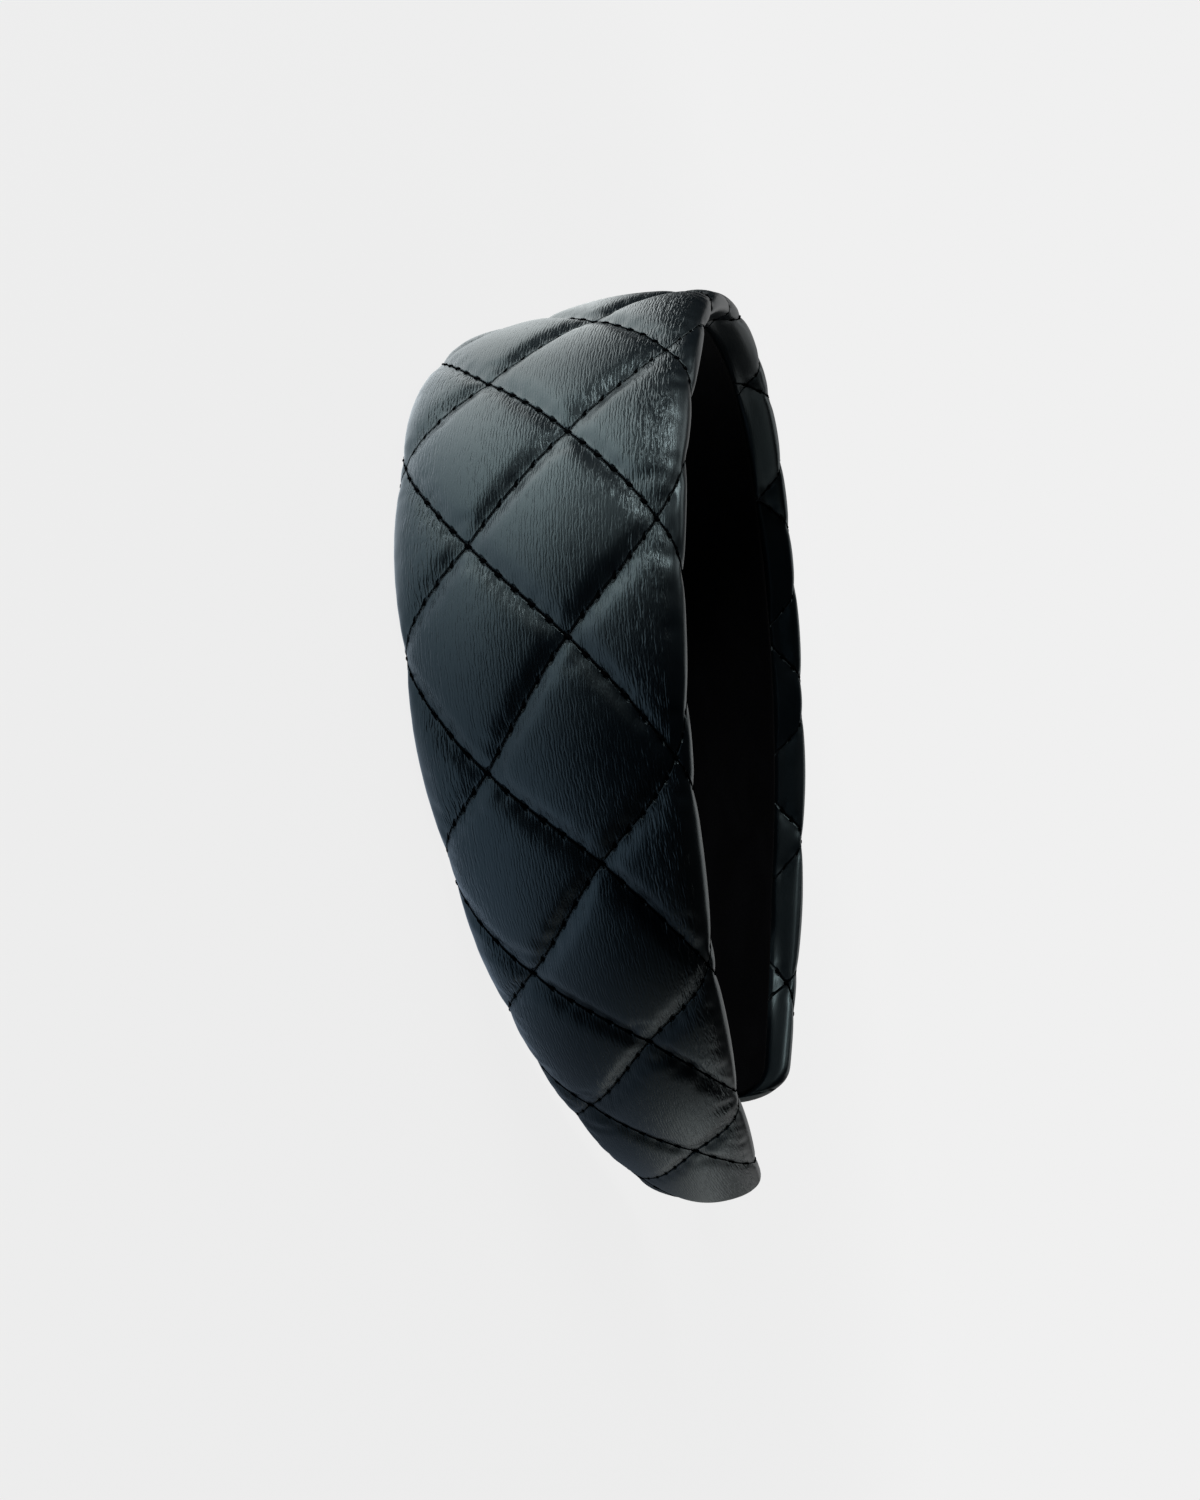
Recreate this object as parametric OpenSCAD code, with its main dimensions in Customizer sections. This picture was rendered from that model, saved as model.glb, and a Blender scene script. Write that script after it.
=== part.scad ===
// Wide padded headband in quilted faux leather, lying on its side.
// The band is an arch of two like legs. A point on it is given by three values:
//   along   distance along the outer face's middle line, 0 at the top of the arch
//   across  distance across the band from its middle, positive towards the upper edge
//   out     height above the band's inner face
// All lengths are in millimetres and all angles in degrees.

/* [Arch] */
// Length of one leg along its inner face, from the top of the arch to the tip
leg_len = 196; // [180:1:205]
// How far the upper edge leans outwards, as an angle across the band
flare = 3; // [0:0.5:5]
// How far the tips lean down, so that the band rests on its lower edges under its own middle
rest_lean = 4.5; // [3:0.5:6]

/* [Padded cover] */
// Thickness at the edges over the top of the arch
crown_edge_h = 4.4; // [4:0.1:5]
// Thickness at the edges near the tips
tip_edge_h = 3.6; // [3.4:0.1:4]
// Width of the rolled edge on the outer face
roll_w = 3; // [2.5:0.1:3.5]
// Radius of the rolled edge on the inner face
inner_roll_r = 1.5; // [1:0.1:1.7]
// How far the cover turns in from the edge to the lining
turn_in = 6; // [5:0.5:7]
// Length of the rounding at each tip
tip_round = 7; // [6:0.5:10]

/* [Quilt] */
// Length of a diamond along the band
diamond_l = 32; // [30:0.5:34]
// Width of a diamond across the band
diamond_w = 28; // [26:0.2:30]
// Place along the band of one crossing of two seams
crossing_along = 22.4; // [20:0.2:25]
// Place across the band of that crossing
crossing_across = 4.8; // [4:0.2:6]
// Depth of the seams on the outer face
seam_depth = 1.4; // [1:0.1:1.6]
// Depth of the seams where they turn to the inner side
turned_depth = 0.7; // [0.4:0.1:0.8]

/* [Lining] */
// Thickness of the lining
lining_t = 1; // [1:0.1:1.2]
// How far the lining's seat is set back from the turned edges
seat_h = 0.8; // [0.6:0.1:1]

/* [Hidden] */

// Shape of a leg, in even steps from the top of the arch to the tip.
// Columns: share of the leg, bend radius, half width, sweep to the upper edge, doming
LEG = [
    [0.0,  68, 22.7, 0.0, 1.4],
    [0.2,  60, 22.5, 0.3, 1.2],
    [0.4,  60, 20.5, 0.7, 1.2],
    [0.6,  86, 17.9, 1.4, 1.6],
    [0.8, 144, 14.6, 2.0, 2.4],
    [1.0, 330, 10.4, 2.8, 3.0]
];
SHARE = 0;
BEND = 1;
HALF_W = 2;
SWEEP = 3;
DOME = 4;

// Small space between the lining and its seat
fit_gap = 0.2;
// Steps of the mesh from one seam crossing to the next
steps = 6;
// Steps round the outer and the inner part of a rolled edge, and across the turned edge
roll_steps = 3;
inner_steps = 2;
turned_steps = 3;
// Angles at which the last sections before a tip are set
TIP_ANGLES = [22, 42, 58, 70, 79];
// Length of the lining's sections
lining_step = 5;

step_along = diamond_l / 2 / steps;
step_across = diamond_w / 2 / steps;

// Value of a column of LEG at a share of the leg, on a smooth curve through the rows
function row_of(q) = min(floor(q * (len(LEG) - 1)), len(LEG) - 2);
function column(c, i) = LEG[max(0, min(i, len(LEG) - 1))][c];
function slope(c, i) =
    i == 0 ? 0 : (column(c, i + 1) - column(c, i - 1)) / (i == len(LEG) - 1 ? 1 : 2);
function smooth_between(a, b, da, db, t) =
    a * (1 + 2 * t) * (1 - t) * (1 - t) + b * (3 - 2 * t) * t * t
    + da * t * (1 - t) * (1 - t) - db * t * t * (1 - t);
function leg_value(c, q) =
    let (i = row_of(q), t = q * (len(LEG) - 1) - i)
    smooth_between(column(c, i), column(c, i + 1), slope(c, i), slope(c, i + 1), t);
function mix(a, b, t) = a + (b - a) * t;
function edge_h(q) = mix(crown_edge_h, tip_edge_h, q);
function top_h(q) = edge_h(q) + leg_value(DOME, q);

// The arch, stepped along the inner face: [along, share, turn, x, y]
arch_step = 1;
function turn_per_mm(q) = 180 / PI / leg_value(BEND, min(q, 1));
ARCH = [
    for (s = 0, turn = 0, x = 0, y = 0, along = 0;
         s <= leg_len + arch_step / 2;
         bend = turn_per_mm((s + arch_step / 2) / leg_len) * arch_step,
         x = x + arch_step * cos(turn + bend / 2),
         y = y + arch_step * sin(turn + bend / 2),
         along = along + arch_step + top_h(min(s / leg_len, 1)) * bend * PI / 180,
         turn = turn + bend,
         s = s + arch_step)
    [along, s / leg_len, turn, x, y]
];
half_along = ARCH[len(ARCH) - 1][0];
SHARE_AT = [for (p = ARCH) [p[0], p[1]]];
TURN_AT = [for (p = ARCH) [p[0], p[2]]];
X_AT = [for (p = ARCH) [p[0], p[3]]];
Y_AT = [for (p = ARCH) [p[0], p[4]]];
function share_at(along) = lookup(abs(along), SHARE_AT);

// How much of its full section the band has left at a place in the round of a tip
function tip_fall(along) =
    let (t = max(0, (abs(along) - (half_along - tip_round)) / tip_round))
    sqrt(max(0, 1 - t * t));
function half_w(along) = leg_value(HALF_W, share_at(along)) * tip_fall(along);
function thin(along) = mix(0.45, 1, tip_fall(along));

// A point of the band in the room, once it lies on its side
function on_arch(along, across, out) =
    let (q = share_at(along),
         side = along < 0 ? -1 : 1,
         turn = lookup(abs(along), TURN_AT),
         up = across * cos(flare) - out * sin(flare) + leg_value(SWEEP, q),
         away = across * sin(flare) + out * cos(flare),
         x = side * (lookup(abs(along), X_AT) + away * sin(turn)),
         y = lookup(abs(along), Y_AT) - away * cos(turn))
    [x, y * cos(rest_lean) + up * sin(rest_lean), up * cos(rest_lean) - y * sin(rest_lean)];

// Place in the quilt, counted in diamonds: each family of seams lies where its value is whole
function seam_a(along, across) =
    (along - crossing_along) / diamond_l - (across - crossing_across) / diamond_w;
function seam_b(along, across) =
    (along - crossing_along) / diamond_l + (across - crossing_across) / diamond_w;
// How full the padding is, from 0 in a seam to 1 in the middle of a diamond
function fullness(along, across) =
    pow(abs(sin(180 * seam_a(along, across)) * sin(180 * seam_b(along, across))), 0.6);
function off_seam(value) = abs(value - round(value));

// Columns of the outer face lie on the quilt's own grid, as far as the face is wide enough
COLS = ceil(leg_value(HALF_W, 0) / step_across) + 2;
mid_col = round(-crossing_across / step_across);
function face_half(along) = max(0, half_w(along) - roll_of(along) - 0.4 * step_across);
function roll_of(along) = min(roll_w, 0.6 * half_w(along));
function first_col(along) =
    min(mid_col, ceil((-face_half(along) - crossing_across) / step_across));
function last_col(along) =
    max(mid_col, floor((face_half(along) - crossing_across) / step_across));
face_lo = mid_col - COLS;
face_n = 2 * COLS + 1;

// Turned edge's inner end, and the seat between the two turned edges
function turn_of(along) = min(turn_in, 0.4 * half_w(along));
function seat_half(along) = half_w(along) - turn_of(along);
// Step across from the turned edge down to the seat
seat_step = 0.2;

// A rolled and turned edge, counted from the outer face inwards: the outer roll, the inner roll,
// the turned edge and the corner of the lining's seat
OUTER = roll_steps;
INNER = OUTER + inner_steps;
TURNED = INNER + turned_steps;
edge_n = TURNED + 2;
function inner_r(along) =
    min(inner_roll_r, 0.4 * edge_h(share_at(along))) * thin(along);
// How far a seam draws the cover in, at a distance round the section from its middle
function drawn_in(along, girth, depth) = depth * thin(along) * (1 - fullness(along, girth));
function outer_roll_point(along, angle, sign) =
    let (w = half_w(along),
         roll = roll_of(along),
         r = inner_r(along),
         h = edge_h(share_at(along)) * thin(along) - r,
         girth = w - roll + roll * angle * PI / 180,
         drop = drawn_in(along, sign * girth, mix(seam_depth, turned_depth, angle / 90)))
    [sign * (w - roll + (roll - drop) * sin(angle)), r + (h - drop) * cos(angle)];
function outer_girth(along) = half_w(along) - roll_of(along) + roll_of(along) * PI / 2;
function inner_roll_point(along, angle, sign) =
    let (r = inner_r(along),
         girth = outer_girth(along) + r * angle * PI / 180,
         drop = drawn_in(along, sign * girth, turned_depth))
    [sign * (half_w(along) - r + (r - drop) * cos(angle)), r - (r - drop) * sin(angle)];
function turned_point(along, part, sign) =
    let (r = inner_r(along),
         run = (turn_of(along) - r) * part,
         girth = outer_girth(along) + r * PI / 2 + run,
         drop = part < 1 ? drawn_in(along, sign * girth, turned_depth) : 0)
    [sign * (half_w(along) - r - run), drop];
function edge_point(along, i, sign) =
    i <= OUTER ? outer_roll_point(along, 90 * i / OUTER, sign)
    : i <= INNER ? inner_roll_point(along, 90 * (i - OUTER) / inner_steps, sign)
    : i <= TURNED ? turned_point(along, (i - INNER) / turned_steps, sign)
    : [sign * (seat_half(along) - seat_step), seat_h * thin(along)];

// One point of the quilted outer face
function face_point(along, col) =
    let (v = crossing_across + col * step_across,
         q = share_at(along),
         w = max(1, half_w(along) - roll_of(along)),
         dome = leg_value(DOME, q) * (1 - v * v / w / w),
         drop = seam_depth * (1 - fullness(along, v)))
    [v, (edge_h(q) + max(0, dome) - drop) * thin(along)];

// A whole section, as a ring: lower edge, outer face, upper edge
ring_n = 2 * edge_n + face_n;
function ring_point(along, i) =
    i < edge_n ? edge_point(along, edge_n - 1 - i, -1)
    : i < edge_n + face_n ? face_point(along, face_lo + i - edge_n)
    : edge_point(along, i - edge_n - face_n, 1);
function ring_index(along, i) =
    i < edge_n || i >= edge_n + face_n ? i
    : edge_n - face_lo + max(first_col(along), min(last_col(along), face_lo + i - edge_n));

// Places of the sections along the band: on the quilt's grid, then round each tip
grid_end = half_along - tip_round;
grid_first = ceil((-grid_end - crossing_along) / step_along);
grid_last = floor((grid_end - crossing_along) / step_along);
TIP_PLACES = [for (a = TIP_ANGLES) half_along - tip_round + tip_round * sin(a)];
PLACES = concat(
    [for (i = [len(TIP_PLACES) - 1 : -1 : 0]) -TIP_PLACES[i]],
    [for (k = [grid_first : grid_last]) crossing_along + k * step_along],
    TIP_PLACES
);

// Triangles between two rings, with no triangle where columns have run together
function whole(t) = t[0] != t[1] && t[1] != t[2] && t[2] != t[0];
function split_quad(a, b, c, d, along_ac) =
    along_ac ? [[a, b, c], [a, c, d]] : [[a, b, d], [b, c, d]];

module ring_solid(points, rings) {
    n = len(rings[0]);
    last = len(rings) - 1;
    sides = [
        for (r = [0 : last - 1], i = [0 : n - 1])
            let (j = (i + 1) % n)
            each split_quad(rings[r][i][0], rings[r][j][0], rings[r + 1][j][0], rings[r + 1][i][0],
                            rings[r][i][1])
    ];
    first_cap = [for (i = [0 : n - 1]) [len(points) - 2, rings[0][(i + 1) % n][0], rings[0][i][0]]];
    last_cap = [for (i = [0 : n - 1]) [len(points) - 1, rings[last][i][0], rings[last][(i + 1) % n][0]]];
    polyhedron(points, [for (t = concat(sides, first_cap, last_cap)) if (whole(t)) t], convexity = 10);
}

// For each ring, the number of each point and which way its square is divided
function follows_a(along, i) =
    let (across = crossing_across + (face_lo + i - edge_n + 0.5) * step_across,
         mid = along + step_along / 2)
    off_seam(seam_a(mid, across)) < off_seam(seam_b(mid, across));

COVER_POINTS = concat(
    [for (p = PLACES, i = [0 : ring_n - 1])
        let (s = ring_point(p, i)) on_arch(p, s[0], s[1])],
    [for (p = [PLACES[0], PLACES[len(PLACES) - 1]])
        on_arch(p, 0, (seat_h + edge_h(1)) / 2 * thin(p))]
);
COVER_RINGS = [
    for (r = [0 : len(PLACES) - 1])
        [for (i = [0 : ring_n - 1])
            [r * ring_n + ring_index(PLACES[r], i), follows_a(PLACES[r], i)]]
];

// The cover's box, whose bottom centre is set on the origin
SURFACE = [for (ring = COVER_RINGS, pair = ring) COVER_POINTS[pair[0]]];
low_corner = [for (k = [0 : 2]) min([for (p = SURFACE) p[k]])];
high_corner = [for (k = [0 : 2]) max([for (p = SURFACE) p[k]])];
to_floor = -[(low_corner.x + high_corner.x) / 2, (low_corner.y + high_corner.y) / 2, low_corner.z];

// The lining's section is a flat strip with its corners taken off
function lining_half(along) = seat_half(along) - seat_step - 0.3;
function lining_section(along) =
    let (w = lining_half(along),
         top = seat_h * thin(along) - fit_gap,
         low = top - lining_t,
         c = lining_t / 3)
    [[-w, top], [w, top], [w, low + c], [w - c, low], [-w + c, low], [-w, low + c]];
lining_last = floor(grid_end / lining_step);
LINING_TIP = [for (i = [0 : 3]) TIP_PLACES[i] - fit_gap * i];
LINING_PLACES = concat(
    [for (i = [3 : -1 : 0]) -LINING_TIP[i]],
    [for (k = [-lining_last : lining_last]) k * lining_step],
    LINING_TIP
);
LINING_POINTS = concat(
    [for (p = LINING_PLACES, s = lining_section(p)) on_arch(p, s[0], s[1])],
    [for (p = [LINING_PLACES[0], LINING_PLACES[len(LINING_PLACES) - 1]])
        on_arch(p, 0, seat_h * thin(p) - fit_gap - lining_t / 2)]
);
LINING_RINGS = [
    for (r = [0 : len(LINING_PLACES) - 1]) [for (i = [0 : 5]) [r * 6 + i, true]]
];

module quilted_cover() {
    color([0.06, 0.065, 0.07])
    translate(to_floor)
    ring_solid(COVER_POINTS, COVER_RINGS);
}

module lining() {
    color([0.12, 0.12, 0.13])
    translate(to_floor)
    ring_solid(LINING_POINTS, LINING_RINGS);
}

quilted_cover();
lining();
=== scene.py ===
"""Quilted headband: one wide padded band in black faux leather, lying on its side on a pale floor.

A point on the band is given by three values: how far it is along the middle of the outer face from
the top of the arch, how far round the section from that middle line (its girth), and how far out it
is from the inner face. Sizes are in millimetres and degrees until a piece is placed in the room,
where they become metres.
"""
import logging
import math
from contextlib import contextmanager
from dataclasses import dataclass, field
from enum import Enum, IntEnum
from typing import Iterable, Iterator, Optional, Sequence, Tuple

import bmesh
import bpy
import numpy as np
from mathutils import Matrix, Vector
from mathutils.bvhtree import BVHTree


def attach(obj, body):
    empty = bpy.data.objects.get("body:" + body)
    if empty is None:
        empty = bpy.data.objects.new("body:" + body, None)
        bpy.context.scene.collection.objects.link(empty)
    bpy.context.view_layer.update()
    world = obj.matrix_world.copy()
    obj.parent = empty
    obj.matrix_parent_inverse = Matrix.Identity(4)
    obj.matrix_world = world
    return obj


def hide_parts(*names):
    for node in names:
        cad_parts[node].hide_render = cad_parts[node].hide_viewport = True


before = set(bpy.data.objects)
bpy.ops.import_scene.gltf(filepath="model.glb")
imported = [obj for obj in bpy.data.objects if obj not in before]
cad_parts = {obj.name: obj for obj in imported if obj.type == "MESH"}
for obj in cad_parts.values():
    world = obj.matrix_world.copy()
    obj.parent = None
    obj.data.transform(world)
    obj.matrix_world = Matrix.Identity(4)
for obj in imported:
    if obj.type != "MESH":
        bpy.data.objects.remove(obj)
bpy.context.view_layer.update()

MM = 0.001
TINY = 1e-6
LOG = logging.getLogger("headband")

Array = np.ndarray
Material = bpy.types.Material
Mesh = bpy.types.Mesh
Socket = bpy.types.NodeSocket
Colour = Tuple[float, float, float, float]
Triple = Tuple[float, float, float]
Span = Tuple[float, float]
Ramp = Tuple[str, float, float, float, float]


def smooth(low: float, high: float, value: Array) -> Array:
    """Rise smoothly from 0 at low to 1 at high.

    Args:
        low: value where the rise starts.
        high: value where it ends.
        value: values to weigh.

    Returns:
        Weights from 0 to 1.
    """
    t = np.clip((np.asarray(value, float) - low) / (high - low), 0.0, 1.0)
    return t * t * (3.0 - 2.0 * t)


# Shape of the band

class Leg(IntEnum):
    """Columns of the table that gives a leg its shape."""

    BEND = 0
    HALF_WIDTH = 1
    SWEEP = 2
    DOME = 3


class Arch(IntEnum):
    """Columns of the arch's steps."""

    ALONG = 0
    SHARE = 1
    TURN = 2
    X = 3
    Y = 4


class Edge(IntEnum):
    """Where the parts of a section end, from the middle of the face to the middle of the seat."""

    MIDDLE = 0
    FACE = 1
    ROLL = 2
    INNER_ROLL = 3
    TURNED = 4
    STEP = 5
    SEAT = 6


@dataclass
class BandForm:
    """The arch and the section of the padded band, with the sizes of the solid model.

    A name that ends in _most is the greatest share that a part takes of the half width, and for the
    inner roll of the edge's height. Each row of legs gives the radius of the bend, the half width,
    the sweep and the dome, from the top of the arch to a tip.
    """

    leg_len: float = 196.0
    flare: float = 3.0
    rest_lean: float = 4.5
    crown_edge_h: float = 4.4
    tip_edge_h: float = 3.6
    roll_w: float = 3.0
    roll_most: float = 0.6
    wider_roll: float = 0.5
    edge_square: float = 0.6
    inner_roll_r: float = 1.5
    inner_most: float = 0.4
    turn_in: float = 6.0
    turn_most: float = 0.4
    tip_round: float = 7.0
    tip_left: float = 0.45
    tip_blunt: int = 16
    seat_h: float = 0.8
    seat_step: float = 0.2
    legs: Tuple[Tuple[float, float, float, float], ...] = (
        (68.0, 22.7, 0.0, 1.4), (60.0, 22.5, 0.3, 1.2), (60.0, 20.5, 0.7, 1.2),
        (86.0, 17.9, 1.4, 1.6), (144.0, 14.6, 2.0, 2.4), (330.0, 10.4, 2.8, 3.0))
    to_floor: Triple = (-0.278367, -70.7078, 23.1145)
    arch: Array = field(init=False, repr=False)

    def __post_init__(self) -> None:
        """Step the arch along its inner line, a millimetre at a time."""
        rows = [(0.0, 0.0, 0.0, 0.0, 0.0)]
        along = turn = x = y = 0.0
        for step in range(int(self.leg_len)):
            share = step / self.leg_len
            bend = 1.0 / float(self.leg_value(Leg.BEND, np.array((step + 0.5) / self.leg_len)))
            along += 1.0 + float(self.top_h(np.array(share))) * bend
            x += math.cos(turn + bend / 2)
            y += math.sin(turn + bend / 2)
            turn += bend
            rows.append((along, (step + 1) / self.leg_len, turn, x, y))
        self.arch = np.array(rows)

    @property
    def half_along(self) -> float:
        """Distance from the top of the arch to a tip, along the outer face."""
        return float(self.arch[-1, Arch.ALONG])

    def leg_value(self, column: Leg, share: Array) -> Array:
        """Read one column of the leg table on a smooth curve through its rows.

        Args:
            column: which value of the leg to read.
            share: place on the leg, 0 at the top of the arch and 1 at the tip.

        Returns:
            The value at each place.
        """
        values = np.array([row[column] for row in self.legs])
        slopes = np.zeros_like(values)
        slopes[1:-1] = (values[2:] - values[:-2]) / 2
        slopes[-1] = values[-1] - values[-2]
        at = np.clip(share, 0.0, 1.0) * (len(values) - 1)
        row = np.minimum(np.floor(at).astype(int), len(values) - 2)
        t = at - row
        return (values[row] * (1 + 2 * t) * (1 - t) ** 2 + values[row + 1] * (3 - 2 * t) * t * t
                + slopes[row] * t * (1 - t) ** 2 - slopes[row + 1] * t * t * (1 - t))

    def edge_h(self, share: Array) -> Array:
        """Thickness of the band at its edges."""
        return self.crown_edge_h + (self.tip_edge_h - self.crown_edge_h) * share

    def top_h(self, share: Array) -> Array:
        """Thickness of the band at its middle."""
        return self.edge_h(share) + self.leg_value(Leg.DOME, share)

    def on_arch(self, along: Array, column: Arch) -> Array:
        """Read one column of the arch for distances along the outer face."""
        return np.interp(np.abs(along), self.arch[:, Arch.ALONG], self.arch[:, column])

    def share_at(self, along: Array) -> Array:
        """Place on the leg for a distance along the outer face."""
        return self.on_arch(along, Arch.SHARE)

    def in_tip(self, along: Array) -> Array:
        """Place within the round of a tip, 0 where it starts and 1 at the very end."""
        start = self.half_along - self.tip_round
        return np.clip((np.abs(along) - start) / self.tip_round, 0.0, 1.0)

    def near_tip(self, along: Array, apart: Span) -> Array:
        """Rise from 0 to 1 between two distances from a tip."""
        return smooth(self.half_along - apart[0], self.half_along - apart[1], np.abs(along))

    def half_width(self, along: Array) -> Array:
        """Half the width of the band."""
        wide = self.leg_value(Leg.HALF_WIDTH, self.share_at(along))
        return wide * np.sqrt(1 - self.in_tip(along) ** 2)

    def thin(self, along: Array) -> Array:
        """Share of the full thickness, which falls to tip_left in the round of a tip."""
        return self.tip_left + (1 - self.tip_left) * np.sqrt(1 - self.in_tip(along) ** 2)

    def roll(self, along: Array) -> Array:
        """Width of the rolled edge on the outer face."""
        half = self.half_width(along)
        wider = self.wider_roll * np.maximum(half - self.legs[-1][Leg.HALF_WIDTH], 0.0)
        return np.minimum(self.roll_w + wider, self.roll_most * half)

    def inner_r(self, along: Array) -> Array:
        """Radius of the rolled edge on the inner face."""
        r = np.minimum(self.inner_roll_r, self.inner_most * self.edge_h(self.share_at(along)))
        return np.minimum(r * self.thin(along), self.half_width(along))

    def turned_w(self, along: Array) -> Array:
        """Width of the turned edge, from the outline to the step of the seat."""
        return np.minimum(self.turn_in, self.turn_most * self.half_width(along))

    def girths(self, along: Array) -> Array:
        """Give the girths at which the parts of a section end.

        Args:
            along: places along the band.

        Returns:
            Seven girths for each place, in the order of Edge.
        """
        w, roll, r = self.half_width(along), self.roll(along), self.inner_r(along)
        face = w - roll
        outer = face + roll * math.pi / 2
        inner = outer + r * math.pi / 2
        seat = inner + np.maximum(w - r, 0.0)
        turned = inner + np.maximum(self.turned_w(along) - r, 0.0)
        step = np.minimum(turned + self.seat_step, seat)
        return np.stack([0 * w, face, outer, inner, turned, step, seat], axis=-1)

    def sections(self, step: float, reach: float, angles: Sequence[float]) -> Array:
        """Space the sections evenly along the band, and closer in the round of each tip.

        Args:
            step: distance between two even sections.
            reach: how far the round of a tip is filled.
            angles: places of the sections in that round, 90 at its end.

        Returns:
            The places along the band, from tip to tip.
        """
        end = self.half_along - self.tip_round
        even = np.linspace(-end, end, int(round(2 * end / step)) + 1)
        tip = end + reach * np.sin(np.radians(angles))
        return np.concatenate([-tip[::-1], even, tip])

    def skin(self, along: Array, girth: Array, depth: Array) -> Tuple[Array, Array]:
        """Find a point of the cover's surface, drawn in by a depth.

        Args:
            along: places along the band.
            girth: distances round the section, below 0 on the lower half.
            depth: how far each point is drawn in from the full surface.

        Returns:
            The distances across and out.
        """
        share, thin = self.share_at(along), self.thin(along)
        w, roll, r = self.half_width(along), self.roll(along), self.inner_r(along)
        ends = self.girths(along)
        g, depth, edge = np.abs(girth), depth * thin, self.edge_h(share) * thin
        on_outer, on_inner = g > ends[..., Edge.FACE], g > ends[..., Edge.ROLL]
        angle = np.clip((g - ends[..., Edge.FACE]) / np.maximum(roll, TINY), 0.0, math.pi / 2)
        across = np.where(on_outer, w - roll + (roll - depth) * np.sin(angle), g)
        rounded = r + (edge - r - depth) * np.cos(angle) ** self.edge_square
        out = np.where(on_outer, rounded, edge - depth)
        part = np.clip(across / np.maximum(w, 1.0), 0.0, 1.0)
        out = out + self.leg_value(Leg.DOME, share) * (1 - part ** 2) * thin
        angle = np.clip((g - ends[..., Edge.ROLL]) / np.maximum(r, TINY), 0.0, math.pi / 2)
        across = np.where(on_inner, w - r + (r - depth) * np.cos(angle), across)
        out = np.where(on_inner, r - (r - depth) * np.sin(angle), out)
        run = g - ends[..., Edge.INNER_ROLL]
        to_seat = smooth(0.0, self.seat_step, g - ends[..., Edge.TURNED])
        across = np.where(run > 0, np.maximum(w - r - run, 0.0), across)
        out = np.where(run > 0, depth * (1 - to_seat) + self.seat_h * thin * to_seat, out)
        closing = np.sqrt(1 - self.in_tip(along) ** self.tip_blunt)
        middle = edge / 2
        return np.sign(girth) * across * closing, middle + (out - middle) * closing

    def place(self, along: Array, across: Array, out: Array) -> Array:
        """Place points of the band in the room.

        Args:
            along: distances along the band.
            across: distances across it.
            out: distances out from its inner face.

        Returns:
            One row of x, y and z for each point, in metres.
        """
        flare, lean = math.radians(self.flare), math.radians(self.rest_lean)
        turn, x, y = (self.on_arch(along, column) for column in (Arch.TURN, Arch.X, Arch.Y))
        sweep = self.leg_value(Leg.SWEEP, self.share_at(along))
        up = across * math.cos(flare) - out * math.sin(flare) + sweep
        away = across * math.sin(flare) + out * math.cos(flare)
        x = np.where(along < 0, -1, 1) * (x + away * np.sin(turn))
        y = y - away * np.cos(turn)
        leant = y * math.cos(lean) + up * math.sin(lean)
        room = np.stack([x, leant, up * math.cos(lean) - y * math.sin(lean)], -1)
        return (room + np.array(self.to_floor)) * MM


class SeamRun(Enum):
    """The two ways in which the seams cross the band."""

    FALLING = 0
    RISING = 1


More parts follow.
